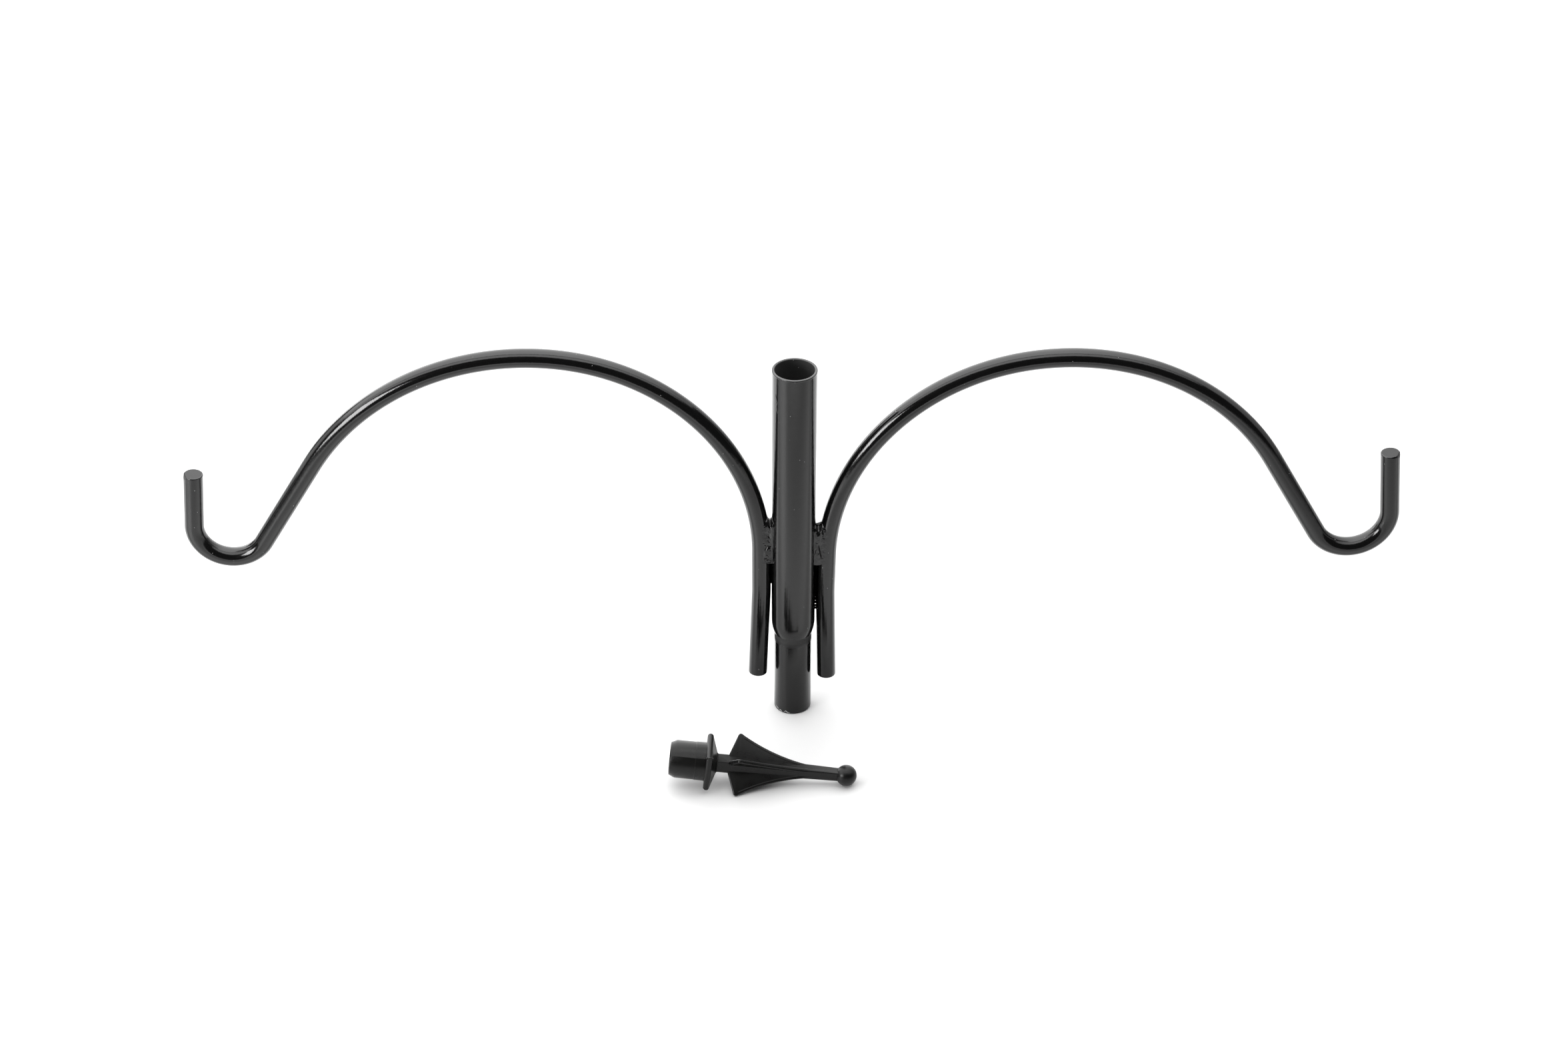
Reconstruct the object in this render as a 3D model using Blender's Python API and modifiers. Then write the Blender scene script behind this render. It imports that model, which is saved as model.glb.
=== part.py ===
"""Two-arm bird feeder pole top, standing on its spigot, with its push-in finial lying in front of it.

Metres, +Z up, arms along X, floor at z = 0. The pole's axis is at x = 0 and y = POLE_SETBACK,
so that the origin is the middle of the object's footprint. The finial lies on the -Y side.
"""
import math

import bmesh
import bpy
import numpy as np
from mathutils import Matrix, Vector

COLLECTION_NAME = "bird_feeder_pole"
SEAM_CLEARANCE = 0.0003        # kept between pieces that touch on the real object
CUTTER_OVERRUN = 0.002         # how far a cutter passes the faces that it cuts
MERGE_DISTANCE = 0.00001       # seam points of one mesh closer than this become one
POLE_SETBACK = 0.0330          # pole axis behind the middle of the footprint

# Pole tube: 7/8 in tube, 8 in long, its foot swaged down to plug into the next section
TUBE_DIAMETER = 0.022225
TUBE_WALL = 0.001245
TUBE_LENGTH = 0.2032
TUBE_EDGE = 0.00025            # broken edge at both ends
SPIGOT_SLACK = 0.00034         # radial play of the spigot in the bore of the pole below
SPIGOT_LENGTH = 0.0425
SHOULDER_LENGTH = 0.0125
SHOULDER_HOLLOW_SHARE = 0.2    # share of the shoulder's bend that is hollow, at its foot
TUBE_SIDES = 48
SHOULDER_STEPS = 5

# Hook arms: 3/8 in bar with its coating, bent in one plane
ROD_DIAMETER = 0.0097
ROD_EDGE = 0.0005              # chamfer on the cut ends
KNEE_RADIUS = 0.0600           # slight bend that brings the leg up along the tube
INNER_ARCH_RADIUS = 0.1151
OUTER_ARCH_RADIUS = 0.1229
OUTER_ARCH_TURN = math.radians(67.2)
ARCH_STEP = math.radians(3.2)
HOOK_STEP = math.radians(7.0)
ROD_SIDES = 20

# Left arm: its straight leg leans out below the knee, its seat runs up the tube from there
LEFT_FOOT_HEIGHT = 0.0213
LEFT_LEG_LENGTH = 0.0505
LEFT_LEG_LEAN = math.radians(2.0)
LEFT_SEAT_GAP = 0.0003         # rod to tube at the foot of the seat
LEFT_SEAT_LENGTH = 0.0231
LEFT_SEAT_LEAN = math.radians(0.0)
LEFT_CROWN_SLOPE = math.radians(8.5)
LEFT_INCLINE_LENGTH = 0.0522
LEFT_HOOK_RADIUS = 0.0182
LEFT_HOOK_TURN = math.radians(153.5)
LEFT_TIP_LENGTH = 0.0299
LEFT_WELD_HEIGHT = 0.0918      # foot of its beads
LEFT_WELD_LENGTH = 0.0241

# Right arm
RIGHT_FOOT_HEIGHT = 0.0191
RIGHT_LEG_LENGTH = 0.0509
RIGHT_LEG_LEAN = math.radians(1.15)
RIGHT_SEAT_GAP = 0.0004
RIGHT_SEAT_LENGTH = 0.0217
RIGHT_SEAT_LEAN = math.radians(1.1)
RIGHT_CROWN_SLOPE = math.radians(7.7)
RIGHT_INCLINE_LENGTH = 0.0515
RIGHT_HOOK_RADIUS = 0.01965
RIGHT_HOOK_TURN = math.radians(155.5)
RIGHT_TIP_LENGTH = 0.0347
RIGHT_WELD_HEIGHT = 0.0904
RIGHT_WELD_LENGTH = 0.0217

# Weld beads, front and rear of each rod
WELD_WIDTH = 0.0068
WELD_DEPTH = 0.0042
WELD_PROUD = 0.0004            # bead's face in front of the rod's face
WELD_RIPPLE = 0.0003
WELD_PUDDLES = 7
WELD_SIDES = 16
PUDDLE_STEPS = 4

# Finial, along its own axis from the face that sits on the tube's rim
BARREL_SLACK = 0.00015         # radial play of the barrel in the tube's bore
BARREL_LENGTH = 0.0179
BARREL_WALL = 0.0020
BARREL_LEAD_LENGTH = 0.0030    # chamfer that leads the barrel in
BARREL_LEAD_DEPTH = 0.0012
BARREL_STEP_LENGTH = 0.0052    # thicker band next to the flange
BARREL_STEP_HEIGHT = 0.00012
BARREL_FLOOR = 0.0020          # closed end of the barrel's hollow, under the flange
FLANGE_CORNER_RADIUS = 0.0146  # axis to the corner of the square flange
FLANGE_THICKNESS = 0.0031
FLANGE_SLOPE_HEIGHT = 0.0027   # shallow pyramid from the flange up to the stem
STEM_CORNER_RADIUS = 0.00485   # axis to the corner of the square stem
NECK_CORNER_RADIUS = 0.0034    # the same where the stem has tapered up to the ball
FIN_ROOT_HEIGHT = 0.0122       # where the fins' back edges leave the stem
FIN_TIP_HEIGHT = 0.0167
FIN_TIP_RADIUS = 0.0158
FIN_THICKNESS = 0.0021
FIN_EDGE = 0.0007              # rounding of the fins' edges
FIN_TIP_ROUND = 0.0014
BALL_DIAMETER = 0.0107
BALL_HEIGHT = 0.0713
CORNER_ROUND = 0.0005
BARREL_SIDES = 40
SQUARE_SIDES = 4
CORNER_STEPS = 2
FLANGE_RIM_STEPS = 4
SWEEP_STEPS = 12
TIP_STEPS = 3
BALL_SEGMENTS = 20

# Where the finial lies: the middle of its fin tips, from the pole axis, and its heading
FINIAL_REST_X = -0.0301
FINIAL_REST_Y = -0.0654
FINIAL_HEADING = math.radians(-2.85)
FINIAL_ROLL = math.radians(45.0)
REST_TRIALS = 40               # halvings in the search for the tilt at which it lies

POLISHED_COAT = ("black_powder_coat", (0.018, 0.018, 0.019, 1.0), 0.22, 0.0)
MOULDED_PLASTIC = ("black_moulded_plastic", (0.022, 0.022, 0.021, 1.0), 0.42, 0.0)


def clear_scene():
    for obj in list(bpy.context.scene.objects):
        bpy.data.objects.remove(obj, do_unlink=True)


def new_collection(name):
    collection = bpy.data.collections.new(name)
    bpy.context.scene.collection.children.link(collection)
    return collection


def new_material(name, colour, roughness, metallic):
    material = bpy.data.materials.new(name)
    material.use_nodes = True
    shader = material.node_tree.nodes["Principled BSDF"]
    shader.inputs["Base Color"].default_value = colour
    shader.inputs["Roughness"].default_value = roughness
    shader.inputs["Metallic"].default_value = metallic
    material.diffuse_color = colour
    return material


def new_object(name, data, collection):
    obj = bpy.data.objects.new(name, data)
    collection.objects.link(obj)
    return obj


def profile_object(name, points, collection, closed):
    """Edges through (radius, height) points in the XZ plane, ready for a Screw modifier."""
    mesh = bpy.data.meshes.new(name)
    count = len(points)
    edges = [(i, i + 1) for i in range(count - 1)]
    if closed:
        edges.append((count - 1, 0))
    mesh.from_pydata([(radius, 0, height) for radius, height in points], edges, [])
    return new_object(name, mesh, collection)


def add_screw(obj, sides):
    screw = obj.modifiers.new("turn", "SCREW")
    screw.steps = sides
    screw.render_steps = sides
    screw.merge_threshold = MERGE_DISTANCE
    screw.use_merge_vertices = True
    return screw


def bake(obj):
    """Replaces the object's data by its evaluated mesh, with loose seams welded."""
    depsgraph = bpy.context.evaluated_depsgraph_get()
    mesh = bpy.data.meshes.new_from_object(obj.evaluated_get(depsgraph))
    mesh.name = obj.name
    bm = bmesh.new()
    bm.from_mesh(mesh)
    bmesh.ops.remove_doubles(bm, verts=bm.verts, dist=MERGE_DISTANCE)
    bm.to_mesh(mesh)
    bm.free()
    baked = bpy.data.objects.new(obj.name + "_mesh", mesh)
    baked.matrix_world = obj.matrix_world.copy()
    for collection in obj.users_collection:
        collection.objects.link(baked)
    name = obj.name
    bpy.data.objects.remove(obj, do_unlink=True)
    baked.name = name
    return baked


def shade(obj, material, angle=math.radians(35)):
    obj.data.materials.clear()
    obj.data.materials.append(material)
    obj.data.shade_smooth()
    obj.data.set_sharp_from_angle(angle=angle)


def add_boolean(obj, other, operation):
    boolean = obj.modifiers.new(operation.lower(), "BOOLEAN")
    boolean.operation = operation
    boolean.object = other
    boolean.solver = "EXACT"
    other.hide_render = True
    other.display_type = "WIRE"


def arc(centre_x, centre_z, radius, start, end, steps):
    """Points along an arc, both ends included."""
    points = []
    for step in range(steps + 1):
        angle = start + (end - start) * step / steps
        points.append((centre_x + radius * math.cos(angle), centre_z + radius * math.sin(angle)))
    return points


# Pole tube

def shoulder(radius_top, radius_foot):
    """Bulb-shaped shoulder from the tube down to the spigot, as two tangent arcs."""
    drop = radius_top - radius_foot
    turn = 2 * math.atan2(drop, SHOULDER_LENGTH)
    reach = SHOULDER_LENGTH / math.sin(turn)
    hollow_radius = reach * SHOULDER_HOLLOW_SHARE
    bulb_radius = reach - hollow_radius
    top = SPIGOT_LENGTH + SHOULDER_LENGTH
    bulb = arc(radius_top - bulb_radius, top, bulb_radius, 0, -turn, SHOULDER_STEPS)
    hollow = arc(radius_foot + hollow_radius, SPIGOT_LENGTH, hollow_radius,
                 math.pi - turn, math.pi, SHOULDER_STEPS)
    return bulb + hollow[1:]


def build_tube(collection, material):
    outer = TUBE_DIAMETER / 2
    bore = outer - TUBE_WALL
    spigot = bore - SPIGOT_SLACK
    spigot_bore = spigot - TUBE_WALL
    outside = [(outer - TUBE_EDGE, TUBE_LENGTH), (outer, TUBE_LENGTH - TUBE_EDGE)]
    outside += shoulder(outer, spigot)
    outside += [(spigot, TUBE_EDGE), (spigot - TUBE_EDGE, 0)]
    inside = [(bore + TUBE_EDGE, TUBE_LENGTH), (bore, TUBE_LENGTH - TUBE_EDGE)]
    inside += shoulder(bore, spigot_bore)
    inside += [(spigot_bore, TUBE_EDGE), (spigot_bore + TUBE_EDGE, 0)]
    tube = profile_object("pole_tube", outside + inside[::-1], collection, closed=True)
    add_screw(tube, TUBE_SIDES)
    shade(tube, material)
    return tube


# Hook arms

class Arm:
    """One arm's own values, and the route of its rod in the plane of the arms."""

    def __init__(self, side, leg, seat, crown_slope, hook, weld):
        self.side = side
        self.foot_height, self.leg_length, self.leg_lean = leg
        self.seat_gap, self.seat_length, self.seat_lean = seat
        self.crown_slope = crown_slope
        self.incline_length, self.hook_radius, self.hook_turn, self.tip_length = hook
        self.weld_height, self.weld_length = weld

    def route(self):
        """(distance from the pole axis, height) from the foot to the tip."""
        seat_x = TUBE_DIAMETER / 2 + self.seat_gap + ROD_DIAMETER / 2
        bulge = KNEE_RADIUS * (math.cos(self.seat_lean) - math.cos(self.leg_lean))
        foot_x = seat_x + bulge + self.leg_length * math.sin(self.leg_lean)
        pen = Pen(foot_x, self.foot_height, math.pi / 2 + self.leg_lean)
        pen.straight(ROD_EDGE)
        pen.straight(self.leg_length - ROD_EDGE)
        pen.bend(KNEE_RADIUS, -self.leg_lean - self.seat_lean, ARCH_STEP)
        pen.straight(self.seat_length)
        pen.bend(INNER_ARCH_RADIUS, self.crown_slope - pen.heading, ARCH_STEP)
        pen.bend(OUTER_ARCH_RADIUS, -OUTER_ARCH_TURN, ARCH_STEP)
        pen.straight(self.incline_length)
        pen.bend(self.hook_radius, self.hook_turn, HOOK_STEP)
        pen.straight(self.tip_length - ROD_EDGE)
        pen.straight(ROD_EDGE)
        return pen.points


class Pen:
    """Draws a route of straights and bends, turning anticlockwise for positive turns."""

    def __init__(self, x, z, heading):
        self.x, self.z, self.heading = x, z, heading
        self.points = [(x, z)]

    def straight(self, length):
        self.x += length * math.cos(self.heading)
        self.z += length * math.sin(self.heading)
        self.points.append((self.x, self.z))

    def bend(self, radius, turn, step):
        steps = math.ceil(abs(turn) / step)
        hand = math.copysign(1, turn)
        centre_x = self.x - hand * radius * math.sin(self.heading)
        centre_z = self.z + hand * radius * math.cos(self.heading)
        start = self.heading - hand * math.pi / 2
        self.points += arc(centre_x, centre_z, radius, start, start + turn, steps)[1:]
        self.x, self.z = self.points[-1]
        self.heading += turn


def rod_curve(name, arm, radius, end_share, collection):
    """Round bar along the arm's route, with narrower ends where end_share is under 1."""
    curve = bpy.data.curves.new(name, "CURVE")
    curve.dimensions = "3D"
    curve.bevel_depth = radius
    curve.bevel_resolution = (ROD_SIDES - 4) // 2
    curve.use_fill_caps = True
    route = arm.route()
    spline = curve.splines.new("POLY")
    spline.points.add(len(route) - 1)
    for point, (x, z) in zip(spline.points, route):
        point.co = (arm.side * x, 0, z, 1)
    spline.points[0].radius = end_share
    spline.points[-1].radius = end_share
    return new_object(name, curve, collection)


def build_arm(name, arm, collection, material):
    radius = ROD_DIAMETER / 2
    rod = bake(rod_curve(name, arm, radius, (radius - ROD_EDGE) / radius, collection))
    shade(rod, material)
    return rod


# Weld beads

def weld_profile(length):
    """(radius, height) of a rippled bead of unit radius at its widest puddles, top to bottom."""
    points = [(0, length)]
    pitch = length / WELD_PUDDLES
    for puddle in range(WELD_PUDDLES):
        for step in range(PUDDLE_STEPS):
            along = (puddle + (step + 0.5) / PUDDLE_STEPS) * pitch
            swell = math.sin(math.pi * (step + 0.5) / PUDDLE_STEPS)
            nose = min(along, length - along) / (WELD_WIDTH / 2)
            round_end = math.sqrt(1 - (1 - min(nose, 1)) ** 2)
            ripple = WELD_RIPPLE * (1 - swell) / (WELD_DEPTH / 2)
            points.append((round_end - ripple, length - along))
    points.append((0, 0))
    return points


def build_weld(name, arm, face, cutters, collection, material):
    """Bead in the valley between rod and tube. face is -1 at the front and 1 at the rear."""
    bead = profile_object(name, weld_profile(arm.weld_length), collection, closed=False)
    add_screw(bead, WELD_SIDES)
    bead = bake(bead)
    valley_x = (TUBE_DIAMETER + arm.seat_gap) / 2
    centre_x = arm.side * (valley_x + WELD_WIDTH / 4)
    front = ROD_DIAMETER / 2 + WELD_PROUD - WELD_DEPTH / 2
    bead.data.transform(Matrix.Diagonal((WELD_WIDTH / 2, WELD_DEPTH / 2, 1, 1)))
    bead.data.transform(Matrix.Translation((centre_x, face * front, arm.weld_height)))
    for cutter in cutters:
        add_boolean(bead, cutter, "DIFFERENCE")
    shade(bead, material)
    return bead


def tube_cutter(collection):
    bpy.ops.mesh.primitive_cylinder_add(
        vertices=TUBE_SIDES, radius=TUBE_DIAMETER / 2 + SEAM_CLEARANCE,
        depth=TUBE_LENGTH + 2 * CUTTER_OVERRUN, location=(0, 0, TUBE_LENGTH / 2))
    cutter = bpy.context.active_object
    cutter.name = "tube_cutter"
    cutter.data.transform(Matrix.Translation(cutter.location))
    cutter.location = (0, 0, 0)
    for old in cutter.users_collection:
        old.objects.unlink(cutter)
    collection.objects.link(cutter)
    return cutter


# Finial

def barrel_profile():
    """Closed (radius, height) outline of the hollow barrel, down its outside and up its hollow."""
    outer = TUBE_DIAMETER / 2 - TUBE_WALL - BARREL_SLACK
    body = outer - BARREL_STEP_HEIGHT
    hollow = body - BARREL_WALL
    step_foot = -BARREL_STEP_LENGTH
    floor = -BARREL_FLOOR
    return [
        (0, FLANGE_THICKNESS / 2), (outer, FLANGE_THICKNESS / 2), (outer, step_foot),
        (body, step_foot - BARREL_STEP_HEIGHT), (body, BARREL_LEAD_LENGTH - BARREL_LENGTH),
        (body - BARREL_LEAD_DEPTH, -BARREL_LENGTH), (hollow, -BARREL_LENGTH),
        (hollow, floor), (0, floor),
    ]


def sweep_radius(height):
    """Fin edge: a hollow arc from the tip that runs level and out of sight into the neck."""
    end_radius = NECK_CORNER_RADIUS - FIN_THICKNESS / 2
    end_height = BALL_HEIGHT - BALL_DIAMETER / 2
    rise = FIN_TIP_RADIUS - end_radius
    run = end_height - FIN_TIP_HEIGHT
    radius = (run ** 2 + rise ** 2) / (2 * rise)
    left = end_height - height
    return end_radius + radius - math.sqrt(radius ** 2 - left ** 2)


def core_profile():
    """(corner radius, height) of the square body from its top down to the flange."""
    slope_top = FLANGE_THICKNESS + FLANGE_SLOPE_HEIGHT
    points = [(0, BALL_HEIGHT), (NECK_CORNER_RADIUS, BALL_HEIGHT)]
    points += [(STEM_CORNER_RADIUS, FIN_ROOT_HEIGHT), (STEM_CORNER_RADIUS, slope_top)]
    rim = FLANGE_THICKNESS / 2
    rim_centre = FLANGE_CORNER_RADIUS - rim
    points += arc(rim_centre, rim, rim, math.pi / 2, -math.pi / 2, 2 * FLANGE_RIM_STEPS)
    points.append((0, 0))
    return points


def fin_outline():
    """Closed outline of two opposite fins, (radius, height), drawn in by their rounding."""
    inset = FIN_EDGE
    tip_radius = FIN_TIP_ROUND - inset
    back = math.atan2(FIN_TIP_HEIGHT - FIN_ROOT_HEIGHT, FIN_TIP_RADIUS - STEM_CORNER_RADIUS)
    tip_x = FIN_TIP_RADIUS - FIN_TIP_ROUND
    tip_z = FIN_TIP_HEIGHT
    sweep_length = BALL_HEIGHT - BALL_DIAMETER / 2 - FIN_TIP_HEIGHT
    half = [(0, FIN_ROOT_HEIGHT), (STEM_CORNER_RADIUS - inset, FIN_ROOT_HEIGHT)]
    half += arc(tip_x, tip_z, tip_radius, back - math.pi / 2, math.pi / 4, TIP_STEPS)
    for step in range(1, SWEEP_STEPS + 1):
        height = FIN_TIP_HEIGHT + sweep_length * step / SWEEP_STEPS
        half.append((sweep_radius(height) - inset, height))
    mirrored = [(-x, z) for x, z in half[:0:-1]]
    return half + mirrored


def build_fins(name, turn, collection):
    """Two opposite fins as one flat outline with rounded edges."""
    curve = bpy.data.curves.new(name, "CURVE")
    curve.dimensions = "2D"
    curve.fill_mode = "BOTH"
    curve.extrude = FIN_THICKNESS / 2 - FIN_EDGE
    curve.bevel_depth = FIN_EDGE
    curve.bevel_resolution = 1
    outline = fin_outline()
    spline = curve.splines.new("POLY")
    spline.points.add(len(outline) - 1)
    for point, (x, z) in zip(spline.points, outline):
        point.co = (x, z, 0, 1)
    spline.use_cyclic_u = True
    fins = bake(new_object(name, curve, collection))
    fins.data.transform(Matrix.Rotation(turn, 4, "Z") @ Matrix.Rotation(math.pi / 2, 4, "X"))
    return fins


def build_ball(collection):
    bpy.ops.mesh.primitive_uv_sphere_add(
        segments=BALL_SEGMENTS, ring_count=BALL_SEGMENTS // 2, radius=BALL_DIAMETER / 2)
    ball = bpy.context.active_object
    ball.name = "finial_ball"
    ball.data.transform(Matrix.Translation((0, 0, BALL_HEIGHT)))
    for old in ball.users_collection:
        old.objects.unlink(ball)
    collection.objects.link(ball)
    return ball


def build_finial(collection, cutters, material):
    """The moulding, upright on its own origin: barrel below the flange, fins and ball above."""
    core = profile_object("finial_core", core_profile(), cutters, closed=False)
    add_screw(core, SQUARE_SIDES)
    core = bake(core)
    corners = core.modifiers.new("corner_round", "BEVEL")
    corners.width = CORNER_ROUND
    corners.segments = CORNER_STEPS
    corners.limit_method = "ANGLE"
    corners.angle_limit = math.radians(50)
    barrel = profile_object("finial_barrel", barrel_profile(), cutters, closed=False)
    add_screw(barrel, BARREL_SIDES)
    joined = [bake(core), build_fins("finial_fins_x", 0, cutters),
              build_fins("finial_fins_y", math.pi / 2, cutters), build_ball(cutters)]
    finial = bake(barrel)
    for piece in joined:
        add_boolean(finial, piece, "UNION")
    for old in finial.users_collection:
        old.objects.unlink(finial)
    collection.objects.link(finial)
    finial = bake(finial)
    finial.name = "finial"
    shade(finial, material)
    return finial


def resting_pose(obj):
    """Tilt and height at which the rolled finial lies on its two lower fins and its ball."""
    points = np.array([vertex.co for vertex in obj.data.vertices])
    along = points[:, 2]
    across = points[:, 0] * math.cos(FINIAL_ROLL) - points[:, 1] * math.sin(FINIAL_ROLL)
    fins = along < (FIN_TIP_HEIGHT + BALL_HEIGHT) / 2
    low, high = 0, math.pi / 6
    for _ in range(REST_TRIALS):
        tilt = (low + high) / 2
        drop = across * math.cos(tilt) - along * math.sin(tilt)
        if drop[fins].min() < drop[~fins].min():
            low = tilt
        else:
            high = tilt
    return tilt, -drop.min()


def lay_finial(finial, place):
    """Lays the finial along +X, ball end lower, on the floor at its resting place."""
    tilt, height = resting_pose(finial)
    heading = Matrix.Rotation(FINIAL_HEADING, 4, "Z")
    lay_down = Matrix.Rotation(math.pi / 2 + tilt, 4, "Y")
    roll = Matrix.Rotation(FINIAL_ROLL, 4, "Z")
    turn = heading @ lay_down @ roll
    tips = turn @ Vector((0, 0, FIN_TIP_HEIGHT))
    finial.parent = place
    finial.rotation_euler = turn.to_euler()
    finial.location = (-tips.x, -tips.y, height)


def main():
    clear_scene()
    parts = new_collection(COLLECTION_NAME)
    cutters = new_collection("cutters")
    coat = new_material(*POLISHED_COAT)
    plastic = new_material(*MOULDED_PLASTIC)

    pole_axis = new_object("pole_axis", None, parts)
    pole_axis.location = (0, POLE_SETBACK, 0)
    finial_rest = new_object("finial_rest", None, parts)
    finial_rest.parent = pole_axis
    finial_rest.location = (FINIAL_REST_X, FINIAL_REST_Y, 0)

    arms = {
        "left": Arm(-1, (LEFT_FOOT_HEIGHT, LEFT_LEG_LENGTH, LEFT_LEG_LEAN),
                    (LEFT_SEAT_GAP, LEFT_SEAT_LENGTH, LEFT_SEAT_LEAN),
                    LEFT_CROWN_SLOPE,
                    (LEFT_INCLINE_LENGTH, LEFT_HOOK_RADIUS, LEFT_HOOK_TURN, LEFT_TIP_LENGTH),
                    (LEFT_WELD_HEIGHT, LEFT_WELD_LENGTH)),
        "right": Arm(1, (RIGHT_FOOT_HEIGHT, RIGHT_LEG_LENGTH, RIGHT_LEG_LEAN),
                     (RIGHT_SEAT_GAP, RIGHT_SEAT_LENGTH, RIGHT_SEAT_LEAN),
                     RIGHT_CROWN_SLOPE,
                     (RIGHT_INCLINE_LENGTH, RIGHT_HOOK_RADIUS, RIGHT_HOOK_TURN, RIGHT_TIP_LENGTH),
                     (RIGHT_WELD_HEIGHT, RIGHT_WELD_LENGTH)),
    }
    pieces = [build_tube(parts, coat)]
    tube_tool = tube_cutter(cutters)
    for name, arm in arms.items():
        pieces.append(build_arm(name + "_hook_arm", arm, parts, coat))
        rod_tool = bake(rod_curve(name + "_rod_cutter", arm, ROD_DIAMETER / 2 + SEAM_CLEARANCE,
                                  1, cutters))
        for face_name, face in (("front", -1), ("rear", 1)):
            weld_name = name + "_" + face_name + "_weld"
            pieces.append(build_weld(weld_name, arm, face, (tube_tool, rod_tool), parts, coat))
    for tool in cutters.objects:
        tool.parent = pole_axis
    for piece in pieces:
        piece.parent = pole_axis
    finial = build_finial(parts, cutters, plastic)
    lay_finial(finial, finial_rest)


main()
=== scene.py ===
"""Looks of a two-arm bird feeder pole top and of the finial that lies in front of it.

Metres, +Z up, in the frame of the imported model: the arms run along X and the floor is at z = 0.
Each solid of the frame is replaced by a finer mesh of the same piece in the same place.
"""
import math

import bmesh
import bpy
import numpy as np
from mathutils import Matrix, Vector
from mathutils.noise import noise as noise_at


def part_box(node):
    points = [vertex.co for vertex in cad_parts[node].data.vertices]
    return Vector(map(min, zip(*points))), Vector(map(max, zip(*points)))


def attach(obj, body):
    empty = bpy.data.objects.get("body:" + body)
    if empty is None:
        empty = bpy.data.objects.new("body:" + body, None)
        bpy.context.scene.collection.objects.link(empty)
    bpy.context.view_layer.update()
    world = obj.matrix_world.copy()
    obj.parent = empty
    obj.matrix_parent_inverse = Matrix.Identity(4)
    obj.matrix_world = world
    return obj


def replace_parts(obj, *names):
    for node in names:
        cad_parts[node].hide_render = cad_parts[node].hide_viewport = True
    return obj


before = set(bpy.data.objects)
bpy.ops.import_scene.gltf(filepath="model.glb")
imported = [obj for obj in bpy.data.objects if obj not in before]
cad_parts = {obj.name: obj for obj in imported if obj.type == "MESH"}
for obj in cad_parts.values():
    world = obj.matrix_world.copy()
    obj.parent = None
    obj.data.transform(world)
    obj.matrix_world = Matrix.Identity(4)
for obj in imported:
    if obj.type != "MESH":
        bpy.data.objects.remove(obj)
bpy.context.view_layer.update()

# Camera, solved from the photograph, and the image that it takes
IMAGE_WIDTH_PX = 2352
FOCAL_LENGTH_PX = 4573
SENSOR_WIDTH_MM = 36
CAMERA_X = -0.06025
CAMERA_FROM_POLE = 1.26829     # camera in front of the pole's axis
CAMERA_HEIGHT = 0.96676
CAMERA_HEADING = math.radians(2.50)
CAMERA_PITCH = math.radians(33.90)
CAMERA_ROLL = math.radians(0.27)

# Floor, and the sheet that takes its place in reflections, with an apron at each side
FLOOR_LEFT, FLOOR_RIGHT = -2.40, 1.45
FLOOR_FRONT, FLOOR_BACK = -0.72, 1.28
FLOOR_DROP = 0.0002            # floor below the sheet
FLOOR_SHADE = 0.56
SHEET_LEFT, SHEET_RIGHT = -0.70, 0.62
SHEET_FRONT, SHEET_BACK = -0.52, 1.30
# These shades are painted: painted shade in a band in front and darkest by the pole's foot,
# painted light behind it
SHEET_PAINTED_SHADES = (               # places along Y and the shade at each
    (-0.52, 0.80), (-0.33, 0.80), (-0.26, 0.48), (-0.19, 0.51), (-0.07, 0.68), (-0.035, 0.66),
    (-0.005, 0.40), (0.02, 0.36), (0.06, 0.78), (1.30, 0.78))
SHEET_ROUGHNESS = 0.35
APRON_LEFT, APRON_RIGHT = -2.60, 1.50
APRON_FRONT = -0.75
APRON_SHADE = 0.50

# Light: two panels overhead, a wall behind and at each side, and a softbox at the left
LIGHT_HEIGHT = 1.05
LIGHT_LEFT, LIGHT_RIGHT = -2.6, 1.5
FADE_START = 0.15              # x from which the panels overhead fade to the right
FADE_SHARE = 0.35              # share of their light that is left at their right edge
FRONT_LIGHT = (-0.68, -0.19)   # from and to, along Y
FRONT_LIGHT_RADIANCE = (3.0, 3.0)      # at its front and at its back
REAR_LIGHT = (-0.125, 1.30)
REAR_LIGHT_RADIANCE = (4.0, 3.4)
WALL_FOOT = 0.02               # height of the lower edge of all walls
BACK_WALL_WIDTH = 3.0
BACK_WALL_RADIANCE = (1.4, 4.6)        # at its right and at its left
SIDE_WALL_FRONT = -0.20
LEFT_WALL_RADIANCE = (1.7, 1.7)        # at its foot and at its top
RIGHT_WALL_RADIANCE = (0.4, 1.5)
SOFTBOX_CENTRE = (-0.80, -0.52, 0.355)
SOFTBOX_AIM = (0.0, 0.033, 0.15)
SOFTBOX_WIDTH = 0.40
SOFTBOX_HEIGHT = 0.34
SOFTBOX_RADIANCE = (15.0, 15.0)
ROOM_RADIANCE = 0.07           # what all but the camera gets from the world
BACKDROP_RADIANCE = 1.0        # what the camera gets from it

# Materials. Each layer of a relief: scale, detail and roughness of its noise, and its height
COAT_BLACK = (0.002, 0.002, 0.0021, 1)
COAT_ROUGHNESS = 0.16
COAT_RELIEF = ((420, 2, 0.5, 0.00003), (2600, 2, 0.5, 0.00001))        # orange peel, grain
COAT_PATCHES = (160, 0.10, 0.16)       # scale of its patches, roughness from and to
DULL_ROUGHNESS = 0.7
GLOSSY_SHADE = 0.002
DULL_SHADE = 0.014
CHIP_SHADE = 0.40
DUST_SHADE = 0.7
DUST_CELLS = 400               # per metre
DUST_REACH = (0.03, 0.06)      # of a cell: full speck inside the first, none beyond the second
DUST_CHOICE = (0.78, 0.80)     # a cell whose random number is below these holds no speck
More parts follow.
